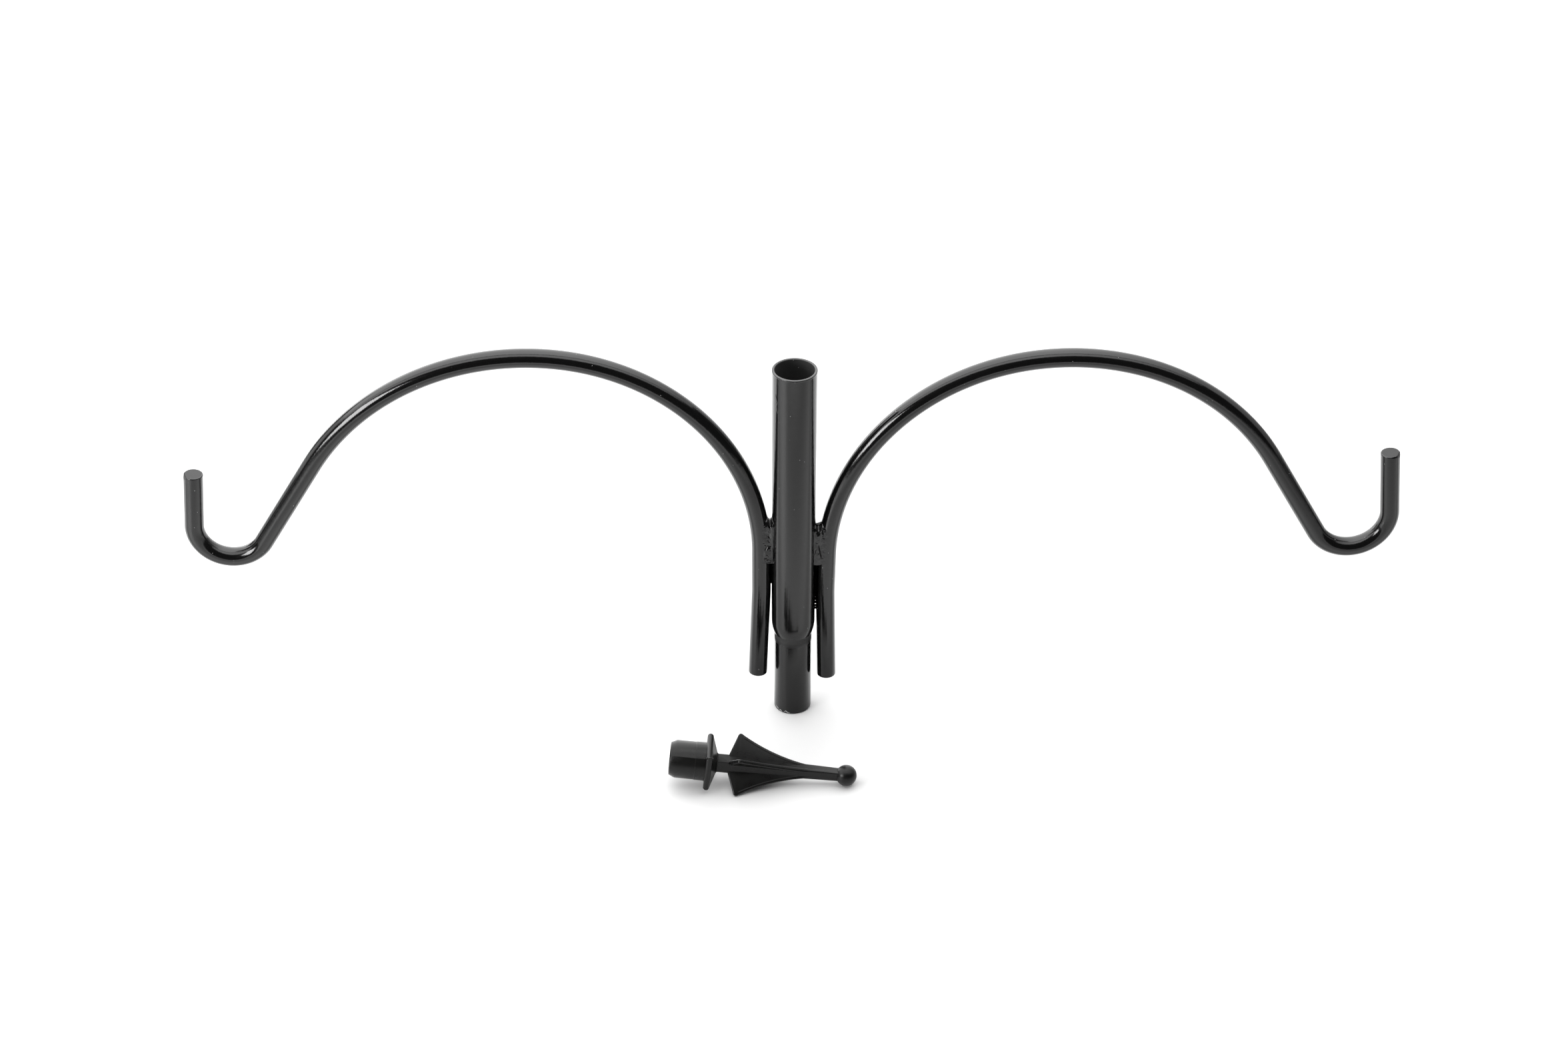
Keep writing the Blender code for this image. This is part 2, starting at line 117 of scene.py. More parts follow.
# painted shade: dead black without shine for the coat in the gaps between legs and tube
CREVICE_SHADE_BLACK = (0.002, 0.002, 0.002, 1)
CREVICE_RELIEF = ((900, 2, 0.5, 0.00005),)
PLASTIC_BLACK = (0.0035, 0.0035, 0.0033, 1)
PLASTIC_ROUGHNESS = 0.3
PLASTIC_SPECULAR = 0.23
PLASTIC_RELIEF = ((500, 2, 0.5, 0.00001), (2600, 3, 0.7, 0.00002))     # flow marks, grain
PLASTIC_PATCHES = (220, 0.26, 0.36)
PATCH_DETAIL = 3
PATCH_LIMITS = (0.3, 0.7)      # of the noise that draws the patches

# Dullness of the coat, an attribute of each point: 0 is glossy, 1 dull, and more is lighter
DULLNESS = "dullness"
TUBE_DULLNESS = 0.07
END_DULLNESS = 0.8             # of a bar's cut ends; the bore has 1
# a run is dull and lighter grey: the grey is a painted highlight along it
RUN_HIGHLIGHT_DULLNESS = 1.1
RIM_DULLNESS = 1.15
CHIP_DULLNESS = 2.0            # bare steel
BORE_MARGIN = 0.0001           # a point this far outside the bore still counts as in it

# Meshes
MERGE_DISTANCE = 0.00001
SAME_PLACE = 1e-7
SHARP_ANGLE = math.radians(50)
CORD_END_SHARE = 0.25          # of a cord's radius, at its ends

# Pole tube
TUBE_DIAMETER = 0.022225
TUBE_WALL = 0.001245
TUBE_LENGTH = 0.2032
TUBE_EDGE = 0.00035
TUBE_RIM_ROUND = 0.0006
TUBE_RIM_LIP = 0.00012         # how far the rounded rim stands out from the tube
CREASE = 0.00005               # short straight under the lip, which keeps its crease sharp
SPIGOT_SLACK = 0.00034
SPIGOT_LENGTH = 0.0445
SHOULDER_LENGTH = 0.0105
SHOULDER_HOLLOW_SHARE = 0.30
TUBE_SIDES = 160
SHOULDER_STEPS = 24
EDGE_STEPS = 5
RIM_STEPS = 12
TUBE_LENGTH_STEPS = 60
SPIGOT_LENGTH_STEPS = 15

# Coat that ran or was chipped: radius of the cord and route, as turns from the left and heights
PAINT_RUNS = (
    (0.00030, ((math.radians(31.0), 0.1929), (math.radians(34.0), 0.1907),
               (math.radians(38.3), 0.1885), (math.radians(35.5), 0.1863),
               (math.radians(37.0), 0.1842), (math.radians(39.6), 0.1822))),
    (0.00016, ((math.radians(26.0), 0.0022), (math.radians(30.0), 0.0012),
               (math.radians(35.0), 0.0015), (math.radians(40.0), 0.0005))),
    (0.00022, ((math.radians(40.0), 0.0004), (math.radians(46.0), 0.0011),
               (math.radians(53.0), 0.0005))),
    (0.00018, ((math.radians(60.0), 0.0006), (math.radians(66.0), 0.0015),
               (math.radians(71.0), 0.0008), (math.radians(80.0), 0.0005))),
)
RUN_SIDES = 10
CHIPS_BELOW = 0.01             # cords that start below this height are chips

# Hook arms
ROD_DIAMETER = 0.0097
ROD_EDGE = 0.0005
KNEE_RADIUS = 0.0600
INNER_ARCH_RADIUS = 0.1151
OUTER_ARCH_RADIUS = 0.1229
OUTER_ARCH_TURN = math.radians(67.2)
ARCH_STEP = math.radians(1.2)
HOOK_STEP = math.radians(3.0)
STRAIGHT_STEP = 0.003
ROD_SIDES = 64
CAP_RINGS = 12
CHIP_ZONE = 0.0024             # length of bar with close rings, above which its tip is chipped
CHIP_STEPS = 4

SIDES = {"left": -1, "right": 1}

# Each arm: foot height, leg length and lean; seat gap, length and lean; crown slope; incline
# length, hook radius and turn, tip length; height and length of its welds
ARM_SIZES = {
    "left": ((0.0213, 0.0505, math.radians(2.0)), (0.0003, 0.0231, math.radians(0.0)),
             math.radians(8.5), (0.0522, 0.0182, math.radians(153.5), 0.0299), (0.0918, 0.0241)),
    "right": ((0.0191, 0.0509, math.radians(1.15)), (0.0004, 0.0217, math.radians(1.1)),
              math.radians(7.7), (0.0515, 0.01965, math.radians(155.5), 0.0347),
              (0.0904, 0.0217)),
}

# Chips on each tip: turn from the right round the front, lift of the facet, depth
TIP_CHIPS = {
    "left": ((math.radians(158), math.radians(30), 0.0010),
             (math.radians(215), math.radians(35), 0.0004)),
    "right": ((math.radians(28), math.radians(30), 0.0008),
              (math.radians(78), math.radians(32), 0.0004),
              (math.radians(52), math.radians(36), 0.0005)),
}

# Weld beads
WELD_TUBE_SIDE = 0.0100        # from the pole's axis to where the bead meets the tube
WELD_SUNK = 0.00005            # how far its edge on the bar lies inside the bar
WELD_SADDLE = 0.0022           # dip of its top in the middle of the valley
WELD_SADDLE_OVERLAP = 0.0002   # how far the valley reaches into tube and bar
WELD_HORN = 0.0019             # rise of its top at both sides of the valley
WELD_TOP_ROLL = 0.0043         # height over which the top rolls back to the rear bead
WELD_ROLL_SHARE = 0.3          # share of the rows that draw it
WELD_DISH = 0.0004             # hollow of its face, halfway from tube to bar
WELD_FOOT_ROUND = 0.0005
WELD_LUMP_POWER = 0.7
WELD_ROUGH = 0.00022
WELD_ROUGH_SIZE = 0.0022
WELD_ROUGH_STEP = 2.3          # scale of the finer noise over that of the coarser
FOLD_END_SHARE = 0.06          # of its half wave, left out at each end of a fold
WELD_ROLL_END = math.radians(86)       # turn of the roll at the last row
WELD_STEPS_UP = 150
WELD_STEPS_ACROSS = 60

# Lumps (across, up, half width, half height, rise) and folds (across and up of both ends,
# width, depth) of the beads on each side, from the pole's axis and the bead's foot
WELD_LUMPS = {
    "left": ((0.0124, 0.0052, 0.0029, 0.0058, 0.0009),
             (0.0107, 0.0120, 0.0007, 0.0120, 0.0005),
             (0.0142, 0.0150, 0.0020, 0.0050, 0.0004)),
    "right": ((0.0117, 0.0040, 0.0022, 0.0085, 0.0006),
              (0.0122, 0.0165, 0.0016, 0.0050, 0.0004)),
}
WELD_FOLDS = {
    "left": ((0.0146, 0.0079, 0.0130, 0.0109, 0.00022, 0.00016),
             (0.0122, 0.0030, 0.0110, 0.0042, 0.00025, 0.0003),
             (0.0126, 0.0134, 0.0125, 0.0142, 0.0002, 0.0003),
             (0.0130, 0.0150, 0.0130, 0.0195, 0.0012, 0.0005)),
    "right": ((0.01235, 0.0121, 0.01384, 0.0040, 0.00025, 0.0006),
              (0.01124, 0.0106, 0.0100, 0.0060, 0.00025, 0.0005),
              (0.0140, 0.0215, 0.0146, 0.0175, 0.00035, 0.0007),
              (0.0128, 0.0205, 0.0133, 0.0175, 0.0002, 0.0003)),
}

# Coat in the gap between leg and tube, dead black as painted shade: heights from and to
WEBS = {
    "left": ((0.0771, 0.0925),),
    "right": ((0.0695, 0.0910), (0.0681, 0.0690), (0.0660, 0.0671), (0.0640, 0.0649),
              (0.0622, 0.0627), (0.0606, 0.0611)),
}
WEB_THICKNESS = 0.0014
WEB_SUNK = 0.0003              # how far it reaches into leg and tube
WEB_STEPS = 8

# Finial, along its own axis from the face that sits on the tube's rim
BARREL_SLACK = 0.00015
BARREL_LENGTH = 0.0179
BARREL_WALL = 0.0020
BARREL_LEAD_LENGTH = 0.0030
BARREL_LEAD_DEPTH = 0.0012
BARREL_STEP_LENGTH = 0.0052
BARREL_STEP_HEIGHT = 0.00012
BARREL_FLOOR = 0.0020
BARREL_EDGE = 0.0004
FLANGE_CORNER_RADIUS = 0.0146
FLANGE_THICKNESS = 0.0031
FLANGE_SLOPE_HEIGHT = 0.0027
STEM_CORNER_RADIUS = 0.00485
NECK_CORNER_RADIUS = 0.0034
FIN_ROOT_HEIGHT = 0.0122
FIN_TIP_HEIGHT = 0.0167
FIN_TIP_RADIUS = 0.0158
FIN_THICKNESS = 0.0021
FIN_EDGE = 0.0007
FIN_TIP_ROUND = 0.0014
BALL_DIAMETER = 0.0107
BALL_HEIGHT = 0.0713
CORNER_ROUND = 0.0005
CORNER_LIMIT = math.radians(50)        # sharper corners than this are rounded
CORNER_STEPS = 6
BARREL_RIDGE_HEIGHT = 0.0002   # at the parting line, over the round between two of them
BARREL_RIDGE_RUN = 0.0011      # over which it falls off, round the barrel
BARREL_RIDGE_SUNK = 0.00008    # taken off all round, so that the ridge stays near the solid
PARTING_RADIUS = 0.00013       # half-round line where the two halves of the mould met
PARTING_SUNK = 0.00002         # its middle below the surface
FLANGE_BUMP_RADIUS = 0.0005    # where that line crosses the flange
FIN_BEAD_RADIUS = 0.00112      # rounded border of each fin, a little thicker than the fin
LINE_SIDES = 16
BARREL_SIDES = 256
NOSE_STEPS = 4
MOUTH_STEPS = 3
FLANGE_RIM_STEPS = 16
SQUARE_SIDES = 4
FIN_EDGE_STEPS = 4
SWEEP_STEPS = 48
TIP_STEPS = 10
BALL_SEGMENTS = 64
FINIAL_SHARP_ANGLE = math.radians(35)
FINIAL_REST_X = -0.0301
FINIAL_REST_Y = -0.0654
FINIAL_HEADING = math.radians(-2.85)
FINIAL_ROLL = math.radians(45.0)
REST_TILT_LIMIT = math.radians(30)
REST_TRIALS = 40               # halvings in the search for the tilt at which it lies


def pole_axis_y():
    low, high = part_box("pole_tube")
    return (low.y + high.y) / 2


POLE_Y = pole_axis_y()


# Camera and studio

def new_object(name, data):
    obj = bpy.data.objects.new(name, data)
    bpy.context.scene.collection.objects.link(obj)
    return obj


def add_camera():
    data = bpy.data.cameras.new("camera")
    data.sensor_width = SENSOR_WIDTH_MM
    data.lens = FOCAL_LENGTH_PX * SENSOR_WIDTH_MM / IMAGE_WIDTH_PX
    camera = new_object("camera", data)
    turn = (Matrix.Rotation(-CAMERA_HEADING, 4, "Z")
            @ Matrix.Rotation(math.pi / 2 - CAMERA_PITCH, 4, "X")
            @ Matrix.Rotation(CAMERA_ROLL, 4, "Z"))
    place = Matrix.Translation((CAMERA_X, POLE_Y - CAMERA_FROM_POLE, CAMERA_HEIGHT))
    camera.matrix_world = place @ turn
    bpy.context.scene.camera = camera


def light_material(name, axis, half, radiance, fade):
    """Light whose strength runs from one value to another along an axis of its panel.

    fade is where it also starts to fade along X, where that ends, and the share left there.
    """
    material = bpy.data.materials.new(name)
    material.use_nodes = True
    nodes, links = material.node_tree.nodes, material.node_tree.links
    nodes.clear()
    emission = nodes.new("ShaderNodeEmission")
    output = nodes.new("ShaderNodeOutputMaterial")
    split = nodes.new("ShaderNodeSeparateXYZ")
    links.new(nodes.new("ShaderNodeTexCoord").outputs["Object"], split.inputs[0])
    strength = map_range(nodes, links, split.outputs[axis], -half, half, *radiance)
    if fade is not None:
        start, end, share = fade
        left = map_range(nodes, links, split.outputs["X"], start, end, 1, share)
        strength = multiply(nodes, links, strength, left)
    links.new(strength, emission.inputs["Strength"])
    links.new(emission.outputs[0], output.inputs["Surface"])
    return material


def panel(name, width, height, place, axis, radiance, fade=None):
    """Sheet of light in its own XY plane that faces its own -Z."""
    x, y = width / 2, height / 2
    mesh = bpy.data.meshes.new(name)
    mesh.from_pydata([(-x, -y, 0), (-x, y, 0), (x, y, 0), (x, -y, 0)], [], [(0, 1, 2, 3)])
    mesh.materials.append(light_material(name, axis, x if axis == "X" else y, radiance, fade))
    obj = new_object(name, mesh)
    obj.matrix_world = place
    obj.visible_camera = False


def facing(centre, aim):
    """Placement whose -Z looks from centre to aim, with X level."""
    centre = Vector(centre)
    turn = (Vector(aim) - centre).to_track_quat("-Z", "Y").to_matrix().to_4x4()
    return Matrix.Translation(centre) @ turn


def floor_plane(name, left, right, front, back, height, material):
    mesh = bpy.data.meshes.new(name)
    mesh.from_pydata([(left, front, height), (right, front, height),
                      (right, back, height), (left, back, height)], [], [(0, 1, 2, 3)])
    mesh.materials.append(material)
    obj = new_object(name, mesh)
    return obj


def sheet_material():
    """Satin floor whose shade changes from front to back: painted shade in a band in front and
    darkest by the pole's foot, painted light behind it.
    """
    material, nodes, links, shader = new_material("reflected_sheet", grey(0), SHEET_ROUGHNESS)
    split = nodes.new("ShaderNodeSeparateXYZ")
    links.new(nodes.new("ShaderNodeTexCoord").outputs["Object"], split.inputs[0])
    share = map_range(nodes, links, split.outputs["Y"], SHEET_FRONT, SHEET_BACK, 0, 1)
    ramp = nodes.new("ShaderNodeValToRGB")
    stops = ramp.color_ramp.elements
    while len(stops) < len(SHEET_PAINTED_SHADES):
        stops.new(1)
    for stop, (place, shade) in zip(stops, SHEET_PAINTED_SHADES):
        stop.position = (place - SHEET_FRONT) / (SHEET_BACK - SHEET_FRONT)
        stop.color = grey(shade)
    links.new(share, ramp.inputs[0])
    links.new(ramp.outputs[0], shader.inputs["Base Color"])
    return material


def add_floor():
    matte, _, _, shader = new_material("floor", grey(FLOOR_SHADE), 1)
    shader.inputs["Specular IOR Level"].default_value = 0
    floor = floor_plane("floor", FLOOR_LEFT, FLOOR_RIGHT, FLOOR_FRONT, FLOOR_BACK, -FLOOR_DROP,
                        matte)
    floor.visible_glossy = False
    apron, _, _, _ = new_material("apron", grey(APRON_SHADE), 1)
    for name, left, right, front, material in (
            ("reflected_sheet", SHEET_LEFT, SHEET_RIGHT, SHEET_FRONT, sheet_material()),
            ("left_apron", APRON_LEFT, SHEET_LEFT, APRON_FRONT, apron),
            ("right_apron", SHEET_RIGHT, APRON_RIGHT, APRON_FRONT, apron)):
        sheet = floor_plane(name, left, right, front, SHEET_BACK, 0, material)
        sheet.visible_camera = False
        sheet.visible_diffuse = False
        sheet.visible_shadow = False


def add_lights():
    width = LIGHT_RIGHT - LIGHT_LEFT
    middle = (LIGHT_RIGHT + LIGHT_LEFT) / 2
    fade = (FADE_START - middle, width / 2, FADE_SHARE)
    for name, (front, back), radiance in (
            ("front_light", FRONT_LIGHT, FRONT_LIGHT_RADIANCE),
            ("rear_light", REAR_LIGHT, REAR_LIGHT_RADIANCE)):
        place = Matrix.Translation((middle, (front + back) / 2, LIGHT_HEIGHT))
        panel(name, width, back - front, place, "Y", radiance, fade)
    wall_height = LIGHT_HEIGHT - WALL_FOOT
    wall_back = REAR_LIGHT[1]
    wall = Vector((0, wall_back, (LIGHT_HEIGHT + WALL_FOOT) / 2))
    panel("back_light", BACK_WALL_WIDTH, wall_height, facing(wall, wall - Vector((0, 1, 0))),
          "X", BACK_WALL_RADIANCE)
    depth = wall_back - SIDE_WALL_FRONT
    for name, x, radiance in (("left_wall", LIGHT_LEFT, LEFT_WALL_RADIANCE),
                              ("right_wall", LIGHT_RIGHT, RIGHT_WALL_RADIANCE)):
        wall = Vector((x, SIDE_WALL_FRONT + depth / 2, (LIGHT_HEIGHT + WALL_FOOT) / 2))
        panel(name, depth, wall_height, facing(wall, (0, wall.y, wall.z)), "Y", radiance)
    panel("side_softbox", SOFTBOX_WIDTH, SOFTBOX_HEIGHT, facing(SOFTBOX_CENTRE, SOFTBOX_AIM),
          "X", SOFTBOX_RADIANCE)


def add_world():
    """White backdrop for the camera, and little light from it on all else."""
    world = bpy.data.worlds.new("studio")
    bpy.context.scene.world = world
    world.use_nodes = True
    nodes, links = world.node_tree.nodes, world.node_tree.links
    background = nodes["Background"]
    background.inputs["Color"].default_value = grey(1)
    seen = nodes.new("ShaderNodeLightPath").outputs["Is Camera Ray"]
    links.new(map_range(nodes, links, seen, 0, 1, ROOM_RADIANCE, BACKDROP_RADIANCE),
              background.inputs["Strength"])
    bpy.context.scene.view_settings.view_transform = "Standard"


# Materials

def grey(shade):
    return (shade, shade, shade, 1)


def new_material(name, colour, roughness):
    material = bpy.data.materials.new(name)
    material.use_nodes = True
    shader = material.node_tree.nodes["Principled BSDF"]
    shader.inputs["Base Color"].default_value = colour
    shader.inputs["Roughness"].default_value = roughness
    return material, material.node_tree.nodes, material.node_tree.links, shader


def noise(nodes, links, vector, scale, detail, roughness=0.5):
    texture = nodes.new("ShaderNodeTexNoise")
    texture.inputs["Scale"].default_value = scale
    texture.inputs["Detail"].default_value = detail
    texture.inputs["Roughness"].default_value = roughness
    links.new(vector, texture.inputs["Vector"])
    return texture.outputs["Fac"]


def map_range(nodes, links, value, from_min, from_max, to_min, to_max):
    """Maps a value between limits, of which the result's lower one can be a socket."""
    ramp = nodes.new("ShaderNodeMapRange")
    ramp.inputs["From Min"].default_value = from_min
    ramp.inputs["From Max"].default_value = from_max
    if isinstance(to_min, bpy.types.NodeSocket):
        links.new(to_min, ramp.inputs["To Min"])
    else:
        ramp.inputs["To Min"].default_value = to_min
    ramp.inputs["To Max"].default_value = to_max
    links.new(value, ramp.inputs["Value"])
    return ramp.outputs[0]


def multiply(nodes, links, first, second):
    product = nodes.new("ShaderNodeMath")
    product.operation = "MULTIPLY"
    links.new(first, product.inputs[0])
    links.new(second, product.inputs[1])
    return product.outputs[0]


def add_relief(nodes, links, place, shader, layers):
    """Bumps the surface by layers of noise, each on top of the one before."""
    normal = None
    for scale, detail, roughness, height in layers:
        bump = nodes.new("ShaderNodeBump")
        bump.inputs["Distance"].default_value = height
        links.new(noise(nodes, links, place, scale, detail, roughness), bump.inputs["Height"])
        if normal is not None:
            links.new(normal, bump.inputs["Normal"])
        normal = bump.outputs["Normal"]
    links.new(normal, shader.inputs["Normal"])


def patches(nodes, links, place, scale, low, high):
    """Value that wanders over the surface between two limits."""
    blur = noise(nodes, links, place, scale, PATCH_DETAIL)
    return map_range(nodes, links, blur, *PATCH_LIMITS, low, high)


def dust(nodes, links, place):
    """1 on specks that lie in a few cells picked at random, 0 elsewhere."""
    cells = nodes.new("ShaderNodeTexVoronoi")
    cells.inputs["Scale"].default_value = DUST_CELLS
    cells.inputs["Randomness"].default_value = 1
    links.new(place, cells.inputs["Vector"])
    speck = map_range(nodes, links, cells.outputs["Distance"], *DUST_REACH, 1, 0)
    pick = nodes.new("ShaderNodeSeparateColor")
    links.new(cells.outputs["Color"], pick.inputs[0])
    chosen = map_range(nodes, links, pick.outputs[0], *DUST_CHOICE, 0, 1)
    return multiply(nodes, links, speck, chosen)


def powder_coat():
    """Glossy black coat over steel, with orange peel, grain and dust, and its marked dullness."""
    material, nodes, links, shader = new_material(
        "glossy_black_powder_coat", COAT_BLACK, COAT_ROUGHNESS)
    place = nodes.new("ShaderNodeTexCoord").outputs["Object"]
    add_relief(nodes, links, place, shader, COAT_RELIEF)
    attribute = nodes.new("ShaderNodeAttribute")
    attribute.attribute_name = DULLNESS
    dull = attribute.outputs["Fac"]
    gloss = patches(nodes, links, place, *COAT_PATCHES)
    links.new(map_range(nodes, links, dull, 0, 1, gloss, DULL_ROUGHNESS),
              shader.inputs["Roughness"])
    shade = map_range(nodes, links, dull, END_DULLNESS, 1, GLOSSY_SHADE, DULL_SHADE)
    shade = map_range(nodes, links, dull, 1, CHIP_DULLNESS, shade, CHIP_SHADE)
    mix = nodes.new("ShaderNodeMix")
    links.new(shade, mix.inputs["A"])
    mix.inputs["B"].default_value = DUST_SHADE
    links.new(dust(nodes, links, place), mix.inputs["Factor"])
    links.new(mix.outputs["Result"], shader.inputs["Base Color"])
    return material


def crevice_painted_shade():
    """Coat that bridges a narrow gap; its dead black without any shine is painted shade."""
    material, nodes, links, shader = new_material("crevice_painted_shade", CREVICE_SHADE_BLACK, 1)
    shader.inputs["Specular IOR Level"].default_value = 0
    place = nodes.new("ShaderNodeTexCoord").outputs["Object"]
    add_relief(nodes, links, place, shader, CREVICE_RELIEF)
    return material


def moulded_plastic():
    """Satin black moulding with a fine grain and faint flow marks."""
    material, nodes, links, shader = new_material(
        "satin_black_plastic", PLASTIC_BLACK, PLASTIC_ROUGHNESS)
    shader.inputs["Specular IOR Level"].default_value = PLASTIC_SPECULAR
    place = nodes.new("ShaderNodeTexCoord").outputs["Object"]
    add_relief(nodes, links, place, shader, PLASTIC_RELIEF)
    links.new(patches(nodes, links, place, *PLASTIC_PATCHES), shader.inputs["Roughness"])
    return material


# Mesh building

def ring_mesh(name, rings, wrap):
    """Mesh through closed rings of points. wrap joins the last ring to the first."""
    rings = np.asarray(rings, float)
    count, sides, _ = rings.shape
    last = count if wrap else count - 1
    faces = []
    for i in range(last):
        here, there = i * sides, (i + 1) % count * sides
        for j in range(sides):
            k = (j + 1) % sides
            faces.append((here + j, here + k, there + k, there + j))
    if not wrap:
        faces.append(tuple(range(sides))[::-1])
        faces.append(tuple(range((count - 1) * sides, count * sides)))
    mesh = bpy.data.meshes.new(name)
    mesh.from_pydata(rings.reshape(-1, 3).tolist(), [], faces)
    tidy_normals(mesh)
    return mesh


def tidy_normals(mesh):
    bm = bmesh.new()
    bm.from_mesh(mesh)
    bmesh.ops.remove_doubles(bm, verts=bm.verts, dist=SAME_PLACE)
    bmesh.ops.recalc_face_normals(bm, faces=bm.faces)
    bm.to_mesh(mesh)
    bm.free()


def cord(name, points, radius, sides):
    """Round cord along points, with its ends drawn in."""
    points = [Vector(point) for point in points]
    rings = []
    for i, point in enumerate(points):
        along = (points[min(i + 1, len(points) - 1)] - points[max(i - 1, 0)]).normalized()
        across = along.orthogonal().normalized()
        other = along.cross(across)
        width = radius * CORD_END_SHARE if i in (0, len(points) - 1) else radius
        rings.append([point + width * (across * math.cos(turn) + other * math.sin(turn))
                      for turn in np.linspace(0, 2 * math.pi, sides, endpoint=False)])
    return ring_mesh(name, rings, False)


def mark_dull(mesh, dullness):
    """Gives each point of the mesh its dullness."""
    attribute = mesh.attributes.new(DULLNESS, "FLOAT", "POINT")
    for vertex, value in zip(mesh.vertices, attribute.data):
        value.value = dullness(vertex.co)


def add_piece(name, mesh, material, body, sharp=SHARP_ANGLE):
    obj = new_object(name, mesh)
    mesh.materials.clear()
    mesh.materials.append(material)
    mesh.shade_smooth()
    mesh.set_sharp_from_angle(angle=sharp)
    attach(obj, body)
    return obj


def add_skin(node, mesh, material, body, sharp=SHARP_ANGLE):
    """Finer mesh that takes the place of one solid."""
    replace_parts(add_piece(node + "_skin", mesh, material, body, sharp), node)


def arc(centre_x, centre_z, radius, start, end, steps):
    """Points along an arc, both ends included."""
    points = []
    for step in range(steps + 1):
        angle = start + (end - start) * step / steps
        points.append((centre_x + radius * math.cos(angle), centre_z + radius * math.sin(angle)))
    return points


def ramp_points(start, end, steps):
    """Points between two points, neither included."""
    return [(start[0] + (end[0] - start[0]) * step / steps,
             start[1] + (end[1] - start[1]) * step / steps) for step in range(1, steps)]


# Pole tube

def shoulder(radius_top, radius_foot):
    drop = radius_top - radius_foot
    turn = 2 * math.atan2(drop, SHOULDER_LENGTH)
    reach = SHOULDER_LENGTH / math.sin(turn)
    hollow_radius = reach * SHOULDER_HOLLOW_SHARE
    bulb_radius = reach - hollow_radius
    top = SPIGOT_LENGTH + SHOULDER_LENGTH
    bulb = arc(radius_top - bulb_radius, top, bulb_radius, 0, -turn, SHOULDER_STEPS)
    hollow = arc(radius_foot + hollow_radius, SPIGOT_LENGTH, hollow_radius,
                 math.pi - turn, math.pi, SHOULDER_STEPS)
    return bulb + hollow[1:]


def wall_side(radius, foot_radius, edge_hand):
    """One side of the tube's wall, top to bottom, with round edges. edge_hand is +1 outside."""
    lip = TUBE_RIM_LIP if edge_hand > 0 else 0
    under = math.acos(1 - lip / TUBE_RIM_ROUND)
    top = arc(radius + lip - edge_hand * TUBE_RIM_ROUND, TUBE_LENGTH - TUBE_RIM_ROUND,
              TUBE_RIM_ROUND, math.pi / 2, -under if edge_hand > 0 else math.pi, RIM_STEPS)
    top.append((top[-1][0], top[-1][1] - CREASE))
    bend = shoulder(radius, foot_radius)
    foot = arc(foot_radius - edge_hand * TUBE_EDGE, TUBE_EDGE, TUBE_EDGE,
               0 if edge_hand > 0 else math.pi, -math.pi / 2 if edge_hand > 0 else math.pi * 1.5,
               EDGE_STEPS)
    return (top + ramp_points(top[-1], bend[0], TUBE_LENGTH_STEPS) + bend
            + ramp_points(bend[-1], foot[0], SPIGOT_LENGTH_STEPS) + foot)


def tube_mesh():
    outer = TUBE_DIAMETER / 2
    bore = outer - TUBE_WALL
    spigot = bore - SPIGOT_SLACK
    profile = wall_side(outer, spigot, 1) + wall_side(bore, spigot - TUBE_WALL, -1)[::-1]
    rings = []
    for radius, height in profile:
        rings.append([(radius * math.cos(turn), POLE_Y + radius * math.sin(turn), height)
                      for turn in np.linspace(0, 2 * math.pi, TUBE_SIDES, endpoint=False)])
    mesh = ring_mesh("tube", rings, True)
    mark_dull(mesh, tube_dullness)
    cords = []
    for radius, route in PAINT_RUNS:
        points = [on_tube(*spot) for spot in route]
        cords.append(cord("paint_run", points, radius, RUN_SIDES))
        # a run's lighter grey is a painted highlight; a chip is bare steel
        dullness = CHIP_DULLNESS if points[0][2] < CHIPS_BELOW else RUN_HIGHLIGHT_DULLNESS
        mark_dull(cords[-1], lambda place: dullness)
    join_meshes(mesh, cords)
    return mesh


def tube_dullness(place):
    """Dull in the bore, and dull and lighter on the rim."""
    if place.z > TUBE_LENGTH - TUBE_RIM_ROUND / 2:
        return RIM_DULLNESS
    inside = TUBE_DIAMETER / 2 - TUBE_WALL + BORE_MARGIN
    in_bore = math.hypot(place.x, place.y - POLE_Y) < inside and place.z > SPIGOT_LENGTH
    return 1 if in_bore else TUBE_DULLNESS


def on_tube(turn, height):
    """Point on the tube's surface, turned from its left side to its front."""
    radius = TUBE_DIAMETER / 2
    if height < SPIGOT_LENGTH:
        radius -= TUBE_WALL + SPIGOT_SLACK
    return (-radius * math.cos(turn), POLE_Y - radius * math.sin(turn), height)


# Hook arms

class Pen:
    """Draws straights and bends as points (x, z, heading), anticlockwise for positive turns."""

    def __init__(self, x, z, heading):
        self.x, self.z, self.heading = x, z, heading
        self.points = [(x, z, heading)]

    def straight(self, length):
        steps = max(1, round(length / STRAIGHT_STEP))
        for _ in range(steps):
            self.x += length / steps * math.cos(self.heading)
            self.z += length / steps * math.sin(self.heading)
            self.points.append((self.x, self.z, self.heading))

    def bend(self, radius, turn, step):
        steps = math.ceil(abs(turn) / step)
        hand = math.copysign(1, turn)
        centre_x = self.x - hand * radius * math.sin(self.heading)
        centre_z = self.z + hand * radius * math.cos(self.heading)
        for _ in range(steps):
            self.heading += turn / steps
            self.x = centre_x + hand * radius * math.sin(self.heading)
            self.z = centre_z - hand * radius * math.cos(self.heading)
            self.points.append((self.x, self.z, self.heading))


